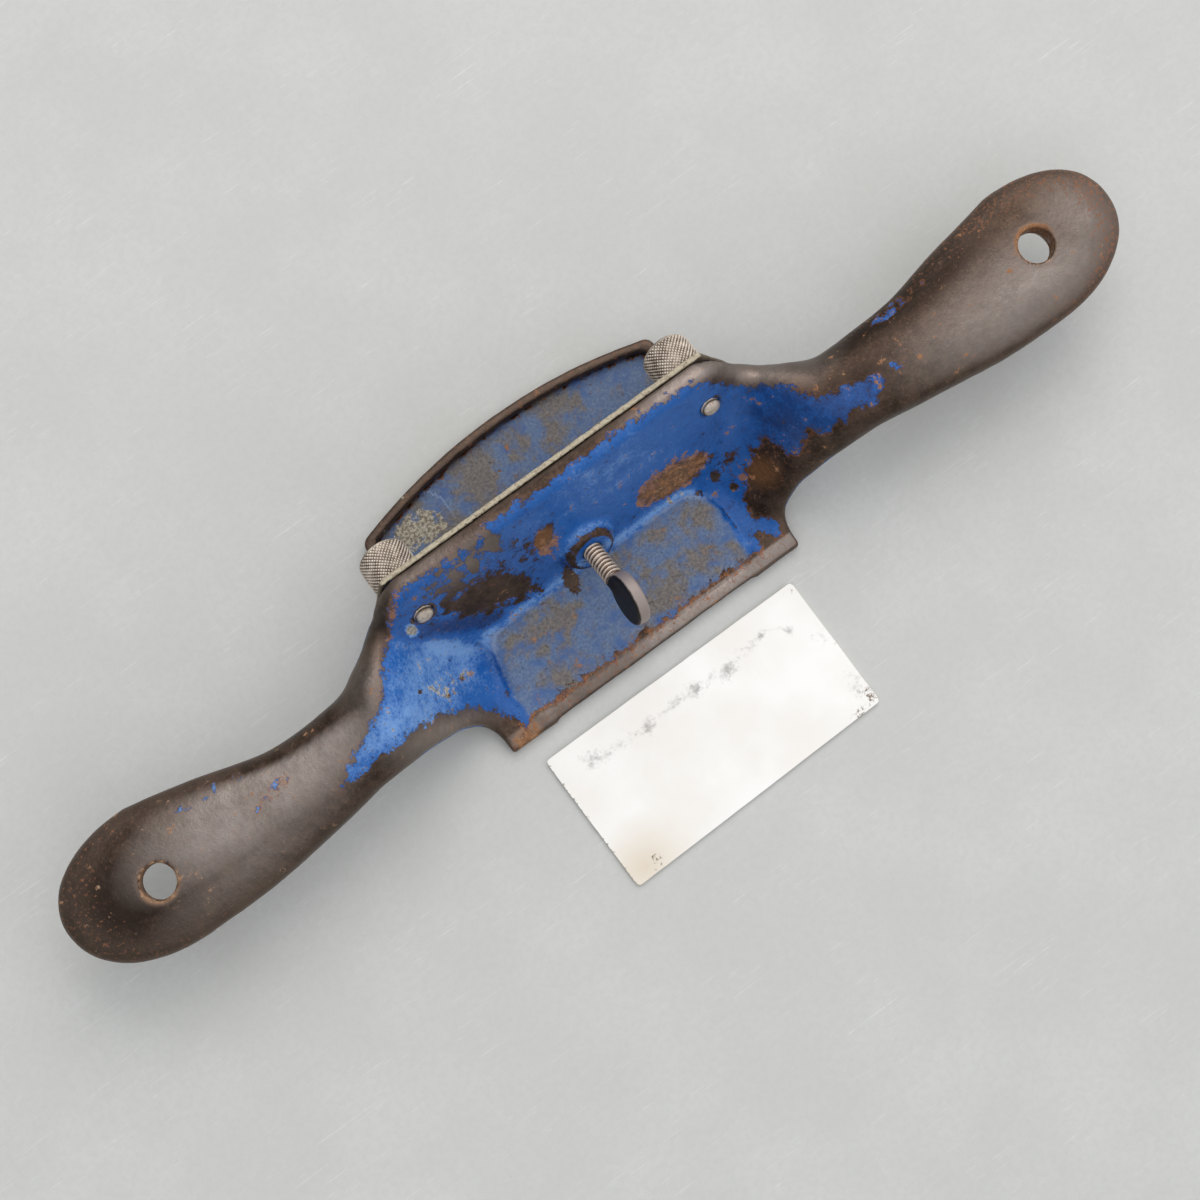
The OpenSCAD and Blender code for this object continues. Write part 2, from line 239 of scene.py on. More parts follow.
def bed_field(x, n, u, z):
    along = np.abs(x)
    outline = rounded_box_2d(x, u, BED_END_X, BED_HEIGHT, BED_CORNER_RADIUS)
    corner_x = np.where(x < 0, LEFT_CORNER_X, RIGHT_CORNER_X)
    outline = smooth_max(outline, 0.83 * (along - corner_x) + 0.55 * (u - BED_HEIGHT), 4.0)
    outline = smooth_max(outline, under_root(along, z), 3.0)
    slab = smooth_max(outline, -BED_THICK - n, 3.6)
    return smooth_max(slab, n, 0.8 + 4.0 * rise(along, 47.0, 53.0))


def boss_field(x, n, u):
    """Boss round the bow screw, flared where it meets the bed."""
    radial = np.hypot(x, u - BOW_U)
    flare = BOSS_RADIUS + 0.6 * np.clip(n + BED_THICK + BOSS_HEIGHT, 0.0, BOSS_HEIGHT)
    body = smooth_max(radial - flare, -BED_THICK - BOSS_HEIGHT - n, 0.6)
    return smooth_max(body, n + 1.0, 1.0)


def spline_table():
    """The handle's stations joined by a Catmull-Rom curve, sampled along x."""
    rows = np.array(HANDLE_STATIONS)
    padded = np.vstack([rows[:1], rows, rows[-1:]])
    samples = []
    for i in range(len(rows) - 1):
        a, b, c, d = padded[i:i + 4]
        for t in np.linspace(0.0, 1.0, 40, endpoint=False):
            samples.append(b + 0.5 * t * (c - a + t * (2 * a - 5 * b + 4 * c - d + t * (3 * (b - c) + d - a))))
    samples.append(rows[-1])
    return np.array(samples)


HANDLE_TABLE = spline_table()


def handle_field(x, y, z):
    along = np.abs(x)
    pairs = (GRIP_STRETCH, GRIP_SHIFT, GRIP_WIDTH)
    stretch, shift, width = [np.where(x < 0, left, right) for left, right in pairs]
    end = np.maximum(along - BULB_X, 0.0) / ((HANDLE_END - BULB_X) * stretch)
    grip = rise(along, 80.0, 115.0)
    values = [np.interp(along, HANDLE_TABLE[:, 0], HANDLE_TABLE[:, i]) for i in range(1, 5)]
    middle_y, half_w, middle_z, half_t = values
    slim = 0.45 * rise(along, 44.0, 52.0) * rise(-along, -76.0, -62.0) * (x > 0)
    middle_y, half_w = middle_y - slim, half_w - slim
    middle_y = middle_y + grip * shift + 1.0 * end
    half_w = half_w * (1.0 + grip * (width - 1.0))
    power = 2.3 + 0.5 * rise(-along, -58.0, -46.0)
    plan = (np.abs((y - middle_y) / half_w) ** GRIP_POWER + end ** GRIP_POWER) ** (1.0 / GRIP_POWER)
    reach = (plan ** power + np.abs((z - middle_z) / half_t) ** power) ** (1.0 / power)
    start = HANDLE_STATIONS[0][0] - along
    return np.maximum((reach - 1.0) * np.minimum(half_w, half_t), start)


def ramp_height(x, y):
    """Height of the scooped shoulder that climbs from the pocket's end to the handle."""
    s = np.abs(x) - 31.0 + 0.35 * (np.clip(y, -33.0, 8.0) + 10.0)
    s = 0.5 * (s + np.sqrt(s * s + 2.0))
    return REAR_RIM_TOP - 0.4 + 0.85 * s + 0.021 * s * s


def shoulder_field(x, y, z):
    """Web of the shoulder, from the sole's rear corner up under the handle's root."""
    along = np.abs(x)
    past = along - ARMPIT_X
    notch = ARMPIT_RADIUS - np.hypot(np.minimum(past, 0.0), y - ARMPIT_Y - 0.15 * np.maximum(past, 0.0))
    web = smooth_max(notch, SOLE_REAR - y, 1.2)
    web = smooth_max(web, under_root(along, z), 3.0)
    web = np.maximum(web, 29.0 - along)
    web = smooth_max(web, z - 25.0, 3.0)
    return np.maximum(web, np.maximum(y + 6.0, along - 66.0))


def casting_field(x, y, z):
    n, u = to_bed(y, z)
    root = smooth_min(handle_field(x, y, z), shoulder_field(x, y, z), 5.0)
    root = smooth_max(root, (z - ramp_height(x, y)) * 0.6, 4.0 + 6.0 * rise(z, 14.0, 30.0))
    metal = smooth_min(sole_field(x, y, z), root, 2.5)
    metal = smooth_min(metal, panel_field(x, y, z), 1.4)
    metal = smooth_min(metal, bed_field(x, n, u, z), 3.4)
    metal = smooth_min(metal, boss_field(x, n, u), 1.1)
    room = smooth_max(-n, smooth_max(FRONT_RIM_TOP - z, np.abs(x) - ROOM_HALF_WIDTH, 3.0), 1.5)
    metal = smooth_max(metal, -room, 0.8)
    floor_ahead = np.maximum(np.maximum(SOLE_FLOOR - z, -n), sole_outline(x, y) + FRONT_RIM_WIDTH)
    metal = smooth_max(metal, -floor_ahead, 0.8)
    mouth = np.maximum(np.maximum(-n, n - MOUTH_GAP), np.abs(x) - MOUTH_HALF_WIDTH)
    metal = smooth_max(metal, -mouth, 0.7)
    near_bed = np.abs(n + BED_THICK) < 8.0
    for across, up, round_off in ((np.abs(x) - CLAMP_X, u - CLAMP_U, 0.5), (x, u - BOW_U, 0.6)):
        bore = BORE_RADIUS - np.hypot(across, up)
        metal = smooth_max(metal, np.where(near_bed, bore, -9.0), round_off)
    hole = HOLE_RADIUS + HOLE_FLARE * rise(-z, -HOLE_MIDDLE_Z, -HOLE_MIDDLE_Z + 5.0)
    metal = smooth_max(metal, hole - np.hypot(np.abs(x) - HOLE_X, y - HOLE_Y), 0.6)
    return smooth_max(metal, -z, 0.9)


# Noise on a lattice, the same on every run

def hashed(i, j, k, seed):
    v = np.sin(i * 127.1 + j * 311.7 + k * 74.7 + seed * 53.3) * 43758.5453
    return v - np.floor(v)


def lattice_noise(points, size, seed):
    """Smooth noise from -1 to 1 with lumps of the given size."""
    q = points / size
    base = np.floor(q)
    f = q - base
    f = f * f * (3.0 - 2.0 * f)
    total = np.zeros(len(points))
    for corner in np.ndindex(2, 2, 2):
        weight = np.ones(len(points))
        for axis, step in enumerate(corner):
            weight = weight * (f[:, axis] if step else 1.0 - f[:, axis])
        i, j, k = (base + corner).T
        total += weight * hashed(i, j, k, seed)
    return 2.0 * total - 1.0


# Meshes from fields

def evaluate(field, points):
    return field(*points.T)


def gradient(field, points, step=0.05):
    rows = []
    for axis in range(3):
        offset = np.zeros(3)
        offset[axis] = step
        rows.append(evaluate(field, points + offset) - evaluate(field, points - offset))
    return np.stack(rows, axis=1) / (2.0 * step)


def project(field, points, rounds, limit):
    """Moves points onto the field's surface by Newton steps."""
    for _ in range(rounds):
        value = evaluate(field, points)
        slope = gradient(field, points)
        square = np.maximum((slope ** 2).sum(axis=1), 0.05)
        move = -(value / square)[:, None] * slope
        length = np.linalg.norm(move, axis=1)[:, None]
        points = points + move * np.minimum(1.0, limit / np.maximum(length, 1e-9))
    return points


def surface_net(field, low, high, step):
    """Quads round the field's zero surface, one vertex in each cell that it crosses."""
    axes = [np.arange(a, b + step, step) for a, b in zip(low, high)]
    shape = [len(a) for a in axes]
    values = np.empty(shape)
    gy, gz = np.meshgrid(axes[1], axes[2], indexing="ij")
    for i, x in enumerate(axes[0]):
        values[i] = field(np.full(gy.size, x), gy.ravel(), gz.ravel()).reshape(gy.shape)
    inside = values < 0.0
    cells = [n - 1 for n in shape]
    total = np.zeros(cells + [3])
    count = np.zeros(cells)
    corners = list(np.ndindex(2, 2, 2))
    window = {c: tuple(slice(c[a], c[a] + cells[a]) for a in range(3)) for c in corners}
    for c in corners:
        for axis in range(3):
            if c[axis]:
                continue
            d = tuple(1 if a == axis else c[a] for a in range(3))
            v0, v1 = values[window[c]], values[window[d]]
            crossed = inside[window[c]] != inside[window[d]]
            t = np.where(crossed, v0 / np.where(v0 == v1, 1.0, v0 - v1), 0.0)
            for a in range(3):
                where = c[a] + (t if a == axis else 0.0)
                total[..., a] += np.where(crossed, where, 0.0)
            count += crossed
    active = count > 0
    index = np.full(cells, -1)
    index[active] = np.arange(active.sum())
    cell_ids = np.argwhere(active)
    points = np.array(low) + step * (cell_ids + total[active] / count[active][:, None])
    quads = []
    for axis in range(3):
        b, c = [(1, 2), (2, 0), (0, 1)][axis]
        lower = [slice(1, -1)] * 3
        lower[axis] = slice(0, -1)
        upper = [slice(1, -1)] * 3
        upper[axis] = slice(1, None)
        start, end = inside[tuple(lower)], inside[tuple(upper)]
        for flag, order in ((start & ~end, 1), (~start & end, -1)):
            at = np.argwhere(flag)
            for a in (b, c):
                at[:, a] += 1
            ring = []
            for db, dc in ((-1, -1), (0, -1), (0, 0), (-1, 0)):
                cell = at.copy()
                cell[:, b] += db
                cell[:, c] += dc
                ring.append(index[cell[:, 0], cell[:, 1], cell[:, 2]])
            quads.append(np.stack(ring[::order], axis=1))
    return points, np.concatenate(quads)


def relax(points, quads, rounds):
    """Evens out the net by moving each point half way to its neighbours' middle."""
    for _ in range(rounds):
        total = np.zeros_like(points)
        count = np.zeros(len(points))
        for a in range(4):
            for b in ((a + 1) % 4, (a + 3) % 4):
                np.add.at(total, quads[:, a], points[quads[:, b]])
                np.add.at(count, quads[:, a], 1.0)
        points = 0.5 * points + 0.5 * total / count[:, None]
    return points


def net_mesh(field, low, high, step):
    points, quads = surface_net(field, low, high, step)
    points = project(field, points, 2, step)
    points = project(field, relax(points, quads, 2), 3, step)
    return points, quads


def make_object(name, points, faces, body, materials, smooth=True):
    mesh = bpy.data.meshes.new(name)
    mesh.from_pydata((np.asarray(points) * MM).tolist(), [], [list(map(int, f)) for f in faces])
    mesh.validate()
    mesh.polygons.foreach_set("use_smooth", [smooth] * len(mesh.polygons))
    for material in materials:
        mesh.materials.append(material)
    piece = bpy.data.objects.new(name, mesh)
    bpy.context.scene.collection.objects.link(piece)
    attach(piece, body)
    return piece


def set_attribute(piece, name, values):
    layer = piece.data.attributes.new(name, "FLOAT", "POINT")
    layer.data.foreach_set("value", np.asarray(values, dtype=np.float32))


# Shader nodes

def linear(value):
    """Linear value of a colour's channel that is 0 to 255 on a screen."""
    v = value / 255.0
    return v / 12.92 if v <= 0.04045 else ((v + 0.055) / 1.055) ** 2.4


class Shader:
    """Builds one material's nodes, with a Principled shader at its end."""

    def __init__(self, name):
        self.material = bpy.data.materials.new(name)
        self.material.use_nodes = True
        self.tree = self.material.node_tree
        self.bsdf = self.tree.nodes["Principled BSDF"]
        self.position = self.node("ShaderNodeTexCoord", {}).outputs["Object"]

    def feed(self, node, inputs):
        """Links or sets inputs of a node; a plain colour is three values from 0 to 255."""
        for key, value in inputs.items():
            socket = node.inputs[key]
            if isinstance(value, bpy.types.NodeSocket):
                self.tree.links.new(value, socket)
            elif socket.type == "RGBA":
                socket.default_value = (*map(linear, value), 1.0)
            else:
                socket.default_value = value

    def node(self, kind, inputs, **settings):
        made = self.tree.nodes.new(kind)
        for key, value in settings.items():
            setattr(made, key, value)
        self.feed(made, inputs)
        return made

    def attribute(self, name):
        return self.node("ShaderNodeAttribute", {}, attribute_name=name).outputs["Fac"]

    def noise(self, size, detail, rough, vector=None, distortion=0.0):
        """Noise whose lumps are about size millimetres across."""
        inputs = {"Vector": vector or self.position, "Scale": 1.0 / (size * MM), "Detail": detail,
                  "Roughness": rough, "Distortion": distortion}
        return self.node("ShaderNodeTexNoise", inputs).outputs["Fac"]

    def math(self, operation, a, b):
        return self.node("ShaderNodeMath", {0: a, 1: b}, operation=operation).outputs[0]

    def times(self, a, b):
        return self.math("MULTIPLY", a, b)

    def less(self, a, b):
        return self.math("SUBTRACT", a, b)

    def vary(self, value, noise, amount):
        """The value moved up and down by the noise, from half the amount below to half above."""
        return self.math("ADD", value, self.times(self.less(noise, 0.5), amount))

    def step(self, value, low, high):
        """0 below low, 1 above high, smooth between."""
        inputs = {"Value": value, "From Min": low, "From Max": high}
        return self.node("ShaderNodeMapRange", inputs, interpolation_type="SMOOTHSTEP").outputs["Result"]

    def mix(self, factor, a, b):
        """From colour a to colour b."""
        return self.node("ShaderNodeMix", {0: factor, 6: a, 7: b}, data_type="RGBA").outputs[2]

    def tint(self, base, factor, amount, value):
        """The base colour with an amount of another where the factor is high."""
        return self.mix(self.times(factor, amount), base, value)

    def blend(self, factor, a, b):
        """From number a to number b."""
        return self.node("ShaderNodeMix", {0: factor, 2: a, 3: b}, data_type="FLOAT").outputs[0]

    def streaks(self, size, detail, rough, angle, squeeze, distortion=0.0):
        """Noise drawn out into lines that lie at an angle in plan."""
        inputs = {"Vector": self.position, "Rotation": (0.0, 0.0, radians(angle)), "Scale": (1.0, squeeze, 1.0)}
        turned = self.node("ShaderNodeMapping", inputs)
        return self.noise(size, detail, rough, turned.outputs["Vector"], distortion)

    def bump(self, height, depth, previous=None):
        """Height from 0 to 1 raised by depth millimetres."""
        made = self.node("ShaderNodeBump", {"Height": height, "Strength": 1.0, "Distance": depth * MM})
        if previous is not None:
            self.feed(made, {"Normal": previous})
        return made.outputs["Normal"]

    def finish(self, *values):
        self.feed(self.bsdf, dict(zip(("Base Color", "Roughness", "Metallic", "Normal"), values)))
        return self.material


# Attributes of the casting's skin that its material reads
CASTING_ATTRIBUTES = ["paint", "edge", "rust", "film", "oxide", "tone_and_light", "rubbed_and_sheen", "grime_and_shade"]


def casting_material():
    s = Shader("worn_casting")
    paint, edge, rust, film, oxide, tone_and_light, rubbed_and_sheen, grime_and_shade = [s.attribute(name) for name in CASTING_ATTRIBUTES]
    broad = s.noise(14.0, 3.0, 0.55)
    patchy = s.noise(5.0, 6.0, 0.66)
    ragged = s.noise(2.2, 7.0, 0.74)
    fine = s.noise(0.7, 4.0, 0.66)
    grain = s.noise(0.3, 2.0, 0.6)

    # Bare iron: dark brown, greyer where hands rub it and with painted sheen where it faces up to the light,
    # darker with dirt and painted shade on the handles' flanks, with rusty specks
    iron = s.mix(s.step(patchy, 0.38, 0.62), (58, 45, 37), (84, 68, 58))
    iron = s.tint(iron, s.step(fine, 0.5, 0.68), 0.35, (116, 92, 74))
    # Near black on the handles' flanks: dirt, and painted shade where they face away from the light
    iron = s.mix(s.times(grime_and_shade, s.step(patchy, 0.3, 0.5)), iron, (36, 27, 22))
    iron = s.tint(iron, s.step(oxide, 0.02, 0.4), 0.85, (140, 98, 62))
    light_metal = s.mix(s.step(ragged, 0.3, 0.7), (140, 127, 119), (152, 141, 134))
    # Light metal colour: iron worn by hands, and painted sheen on the upturned faces
    iron = s.mix(s.times(rubbed_and_sheen, s.step(broad, -0.3, 0.6)), iron, light_metal)
    iron = s.tint(iron, s.step(edge, 0.2, 0.7), 0.5, (112, 95, 84))
    rust_level = s.less(0.66, s.times(rust, 0.18))
    speck = s.step(s.noise(0.9, 6.0, 0.76), rust_level, s.math("ADD", rust_level, 0.04))
    iron = s.tint(iron, speck, 0.75, s.mix(patchy, (110, 68, 44), (150, 96, 62)))

    # Blue paint, from deep to chalky, with painted highlights and painted shade carried in the same attribute
    light = s.vary(s.vary(s.vary(tone_and_light, patchy, 2.2), ragged, 1.7), fine, 2.0)
    blue = s.mix(s.step(light, -1.1, 0.3), (5, 52, 110), (24, 89, 163))
    blue = s.mix(s.step(light, 0.3, 1.6), blue, (108, 148, 202))
    blue = s.tint(blue, s.step(fine, 0.58, 0.7), 0.35, (24, 40, 74))

    # Thin film of paint on the panel and the front floor, chalky with a painted highlight on ridges, and worn
    # through to brown
    worn_film = s.mix(s.step(fine, 0.3, 0.7), (78, 98, 134), (104, 122, 150))
    worn_film = s.mix(s.step(patchy, 0.42, 0.66), worn_film, (62, 93, 143))
    worn_film = s.tint(worn_film, s.step(ragged, 0.56, 0.74), 0.4, (146, 154, 168))
    # Lighter along ridges: chalky paint and a painted highlight
    ridge = s.less(s.step(s.vary(tone_and_light, ragged, 1.2), 0.15, 0.6), s.step(tone_and_light, 1.2, 1.6))
    worn_film = s.tint(worn_film, ridge, 0.55, (136, 154, 188))
    brown = s.mix(s.step(fine, 0.3, 0.7), (90, 81, 74), (128, 117, 104))
    stain = s.vary(s.vary(film, s.noise(9.0, 5.0, 0.6), 4.2), ragged, 1.0)
    worn_film = s.tint(worn_film, s.step(stain, 0.85, 1.6), 0.9, brown)
    thin = s.step(s.vary(film, ragged, 1.6), 0.25, 0.75)
    blue = s.mix(thin, blue, worn_film)

    # Where the paint holds, with ragged borders, small chips and rust along its border
    field = s.vary(s.vary(paint, ragged, 5.0), patchy, 3.4)
    field = s.less(field, s.times(s.step(edge, 0.3, 0.8), 1.2))
    held = s.math("MINIMUM", s.math("MAXIMUM", paint, 0.0), 1.5)
    chip_level = s.math("ADD", 0.565, s.times(held, 0.07))
    chips = s.step(s.noise(1.1, 5.0, 0.7), chip_level, s.math("ADD", chip_level, 0.02))
    mask = s.times(s.step(field, -0.03, 0.05), s.less(1.0, s.times(chips, 0.85)))
    creep = s.math("MAXIMUM", s.less(s.step(field, -0.45, -0.12), mask), 0.0)
    creep = s.times(creep, s.math("ADD", 0.12, s.times(rust, 0.95)))
    iron = s.mix(creep, iron, s.mix(fine, (122, 70, 36), (186, 122, 70)))
    base = s.mix(mask, iron, blue)

    # Patches where rust has taken over; the chalky ones are pale
    patch = s.step(s.vary(s.vary(oxide, ragged, 3.4), patchy, 2.0), 0.5, 0.62)
    crust = s.mix(s.step(ragged, 0.4, 0.6), (88, 66, 50), (152, 104, 68))
    crust = s.mix(s.step(fine, 0.54, 0.7), crust, (176, 140, 106))
    pale = s.mix(s.step(fine, 0.4, 0.6), (120, 108, 90), (190, 180, 158))
    base = s.tint(base, patch, 0.9, s.mix(s.step(tone_and_light, 0.6, 1.2), crust, pale))

    normal = s.bump(s.noise(2.2, 5.0, 0.66), 0.24)
    normal = s.bump(grain, 0.035, normal)
    normal = s.bump(mask, 0.09, normal)
    bare_rough = s.blend(speck, s.blend(s.step(patchy, 0.35, 0.65), 0.36, 0.48), 0.7)
    roughness = s.blend(mask, bare_rough, s.blend(thin, 0.27, 0.46))
    roughness = s.blend(patch, roughness, 0.8)
    bare = s.less(1.0, s.math("MAXIMUM", mask, patch))
    s.bsdf.inputs["Specular IOR Level"].default_value = 0.36
    return s.finish(base, roughness, s.times(bare, s.blend(speck, 0.85, 0.0)), normal)


def steel_material(name, dark, light, rusty, rust_level, rough, metallic=0.9):
    """Steel from its dark colour to its light one by its crest attribute, with rust where its noise passes the
    level.
    """
    s = Shader(name)
    cloud = s.noise(2.5, 5.0, 0.65)
    base = s.mix(s.step(s.vary(s.attribute("crest"), cloud, 1.2), 0.1, 0.8), dark, light)
    spots = s.step(s.noise(1.4, 5.0, 0.7), rust_level, rust_level + 0.06)
    base = s.tint(base, spots, 0.8, rusty)
    normal = s.bump(s.noise(0.35, 3.0, 0.6), 0.03)
    roughness = s.blend(spots, s.blend(cloud, rough, rough + 0.15), 0.75)
    return s.finish(base, roughness, s.times(s.less(1.0, spots), metallic), normal)


def sheared_material():
    """The clamp plate's rough, pale sheared edge."""
    s = Shader("sheared_edge")
    ragged = s.noise(0.7, 5.0, 0.7)
    base = s.mix(s.step(ragged, 0.3, 0.55), (128, 112, 92), (188, 176, 152))
    base = s.mix(s.step(s.noise(1.6, 4.0, 0.7), 0.62, 0.68), base, (84, 70, 56))
    normal = s.bump(ragged, 0.08)
    return s.finish(base, 0.6, 0.2, normal)


def blade_material():
    s = Shader("blade_steel")
    cloud = s.noise(22.0, 4.0, 0.55)
    base = s.mix(s.step(cloud, 0.32, 0.68), (238, 232, 224), (244, 241, 236))
    base = s.tint(base, s.attribute("cream"), 0.85, (222, 208, 188))
    smudge = s.math("ADD", s.times(s.attribute("stain"), 0.34), s.noise(2.2, 6.0, 0.74))
    spots = s.step(smudge, 0.68, 1.0)
    base = s.tint(base, spots, 0.8, (166, 162, 158))
    # Dark pits: rust spots, and a painted shade line along the left edge
    rusty = s.math("ADD", s.times(s.attribute("rust"), 0.3), s.noise(0.9, 6.0, 0.74))
    pits = s.step(rusty, 0.72, 0.86)
    base = s.tint(base, pits, 0.9, s.mix(cloud, (78, 62, 50), (128, 98, 70)))
    normal = s.bump(s.streaks(6.0, 4.0, 0.7, 35, 12.0), 0.015)
    roughness = s.blend(s.math("MAXIMUM", spots, pits), s.blend(cloud, 0.28, 0.4), 0.65)
    return s.finish(base, roughness, 0.35, normal)


def floor_material():
    """Pale worn sheet with faint scuffs, short scratches and dust."""
    s = Shader("pale_floor")
    base = s.mix(s.step(s.noise(45.0, 6.0, 0.66), 0.38, 0.66), (197, 196, 191), (202, 201, 197))
    for size, angle, squeeze in ((16.0, 38, 36.0), (11.0, -24, 30.0), (8.0, 77, 24.0)):
        streak = s.streaks(size, 2.0, 0.5, angle, squeeze, 0.3)
        scratch = s.times(s.step(streak, 0.65, 0.72), s.step(s.noise(size * 2.0, 3.0, 0.6), 0.46, 0.6))
        base = s.tint(base, scratch, 0.45, (224, 223, 216))
    scuff = s.step(s.noise(1.7, 3.0, 0.7), 0.42, 0.62)
    base = s.tint(base, scuff, 0.3, (190, 189, 184))
    dust = s.step(s.noise(2.4, 4.0, 0.8), 0.7, 0.75)
    base = s.tint(base, dust, 0.35, (168, 162, 150))
    return s.finish(base, 0.6, 0.0, s.bump(s.noise(0.8, 3.0, 0.6), 0.02))


# Pieces

def convexity(field, points, normals, depth):
    """How far the surface bends away: 0 on a flat, near 1 along a sharp edge."""
    return unit((evaluate(field, points - normals * depth) + depth) / depth)


def blob(x, y, at_x, at_y, long, wide, turn=0.0):
    """Falls from 1 at a place to 0 at an ellipse round it."""
    dx, dy = x - at_x, y - at_y
    a = (dx * cos(turn) + dy * sin(turn)) / long
    b = (dy * cos(turn) - dx * sin(turn)) / wide
    return unit(1.0 - np.hypot(a, b))


def spot_heights(x, y, spots):
    """The height of each spot of a table at the points."""
    return [strength * blob(x, y, *shape) for strength, *shape in spots]


def highest(x, y, spots):
    return np.maximum.reduce(spot_heights(x, y, spots))


def inside_outline(x, y, outline):
    """Distance to an outline in plan, above 0 inside it."""
    distance = np.full(len(x), 1e9)
    inside = np.zeros(len(x), dtype=bool)
    for (ax, ay), (bx, by) in zip(outline, outline[1:] + outline[:1]):
        ex, ey = bx - ax, by - ay
        t = unit(((x - ax) * ex + (y - ay) * ey) / (ex * ex + ey * ey))
        distance = np.minimum(distance, np.hypot(x - ax - t * ex, y - ay - t * ey))
        crosses = (ay > y) != (by > y)
        inside ^= crosses & (x < ax + (y - ay) * ex / (ey if ey else 1e-9))
    return np.where(inside, distance, -distance)


# Where the blue paint held on the upper side, in plan, from the left end of the bed round by the front
PAINTED = [(-43, 9.5), (36, 9.5), (43.5, 5.5), (52.5, -1), (56.5, -6), (58, -10), (62.5, -10.5), (71, -13.5),
           (74, -15), (69, -17.5), (63.5, -16.5), (61.5, -17.5), (56.5, -16.5), (54, -14.5), (51, -16.5),
           (47, -15.5), (45.5, -10), (40, -14.5), (37.5, -17), (36, -21), (40, -25.6), (38, -28), (35.5, -26.8),
           (33.7, -24.6), (32.3, -28.3), (-32, -28.5), (-35, -30.5), (-36.3, -26.5), (-39, -23), (-43.5, -18.8),
           (-48, -17), (-54, -16.6), (-60, -17.4), (-65, -17.8), (-76, -18), (-69, -13.5), (-62.5, -10.5),
           (-57, -7), (-53, -1), (-48.5, 4)]
# Larger chips in the paint: place in plan and radius
CHIPS = [(-40.3, -12.5, 1.2), (-45.2, -14.2, 1.1), (-49.6, -10.3, 0.8), (33.3, -9.2, 1.8), (35.6, -13.5, 1.4),
         (-48.0, 3.0, 1.2), (-18.0, 6.0, 2.0), (-24.0, 4.5, 1.6)]
# Patches worn bare on the back of the bed, in plan
BARE_PATCHES = [
    [(-35, 0), (-33, 2.3), (-27, 2.1), (-20, 0.8), (-15, -3.6), (-13.5, -7.2), (-20, -6.8), (-27, -4.8),
     (-32, -2.2)],
    [(-10, -1.2), (-10, 1), (-8.5, 3.3), (-4, 2.3), (-6.5, 0)],
    [(14, -2.6), (18.5, -1.3), (25, -1), (33, -2.8), (35, -5), (31.5, -6.4), (27, -7.4), (21, -7.2), (15.5, -6)],
]
# How far inside its outline each patch is quite bare
PATCH_FADES = [2.6, 1.5, 1.5]

# Spots in plan: strength, place, half length, half width and turn
PAINT_WEAR = [(1.2, -24, -1, 30, 10, -0.05), (1.0, -30, 6, 24, 5.5, 0), (1.2, 42, -15, 11, 11, 0),
              (0.4, -46, -11, 12, 5, 0), (0.7, 36, -9, 10, 8, 0), (0.7, -8, 2, 8, 6, 0), (0.5, 33, -5, 9, 5, 0)]
PAINT_FLECKS = [(0.9, -98, -1.5, 20, 3, -0.1), (0.95, -88, -9.5, 12, 2.2, 0.3), (1.0, 86, -3, 15, 2.2, 0.1),
                (0.9, 79, -13.5, 7, 3, 0.2)]
OXIDE_SPOTS = [(1.2, -36, -31.5, 5, 2.5, 0), (2.0, -43.2, 1.5, 1.5, 1.5, 0), (0.6, -44.5, -12.5, 9, 5, 0),
               (0.45, 42, -14.5, 5, 7, 0.4)]
FILM_WEAR = [(0.6, 23, -11.5, 14, 7, 0), (0.8, -26, -13, 15, 7, 0), (0.5, 16, -23, 16, 7, 0),
             (0.6, -22, -20, 16, 9, 0)]
# Paint tone spots; the second is a painted highlight on the left ridge, the third a painted shadow along the bed's
# foot on the left
TONE_AND_LIGHT_SPOTS = [(-0.4, -20, -1, 16, 8, 0), (1.2, -38.7, -5.4, 7, 2, -0.66), (-2.2, -34.5, -2.8, 15, 2.6, -0.39),
              (1.2, -62, -14.5, 20, 8, 0), (0.7, 12, 4, 28, 9, 0)]
# Light spots on the iron: wear along the bed's top and elsewhere, and painted highlights on the necks (-56, 60)
# and at the right bulb's end (132)
RUBBED_AND_SHEEN_SPOTS = [(0.3, -56, -3, 13, 9, 0), (0.4, -34, 10.5, 16, 4, 0), (0.55, -49, -20, 19, 6, -0.1),
                (0.3, -96, -18, 36, 8, 0.1), (0.25, 60, -2, 14, 6, 0), (0.9, 37, 10.3, 20, 4.5, 0),
                (0.6, 51, 3.5, 13, 5, -0.6), (0.5, -27, 6.5, 26, 5, 0), (0.45, 132, -12, 16, 14, 0)]
# Dark flank spots: dirt and painted shade; the one at the left bulb's end is painted shade
GRIME_AND_SHADE_SPOTS = [(1.0, 90, -2, 30, 7.5, 0.08), (0.5, 68, -12, 16, 8, 0), (0.7, -128, -12, 22, 20, 0),
               (0.7, -48, 7, 8, 4, 0)]


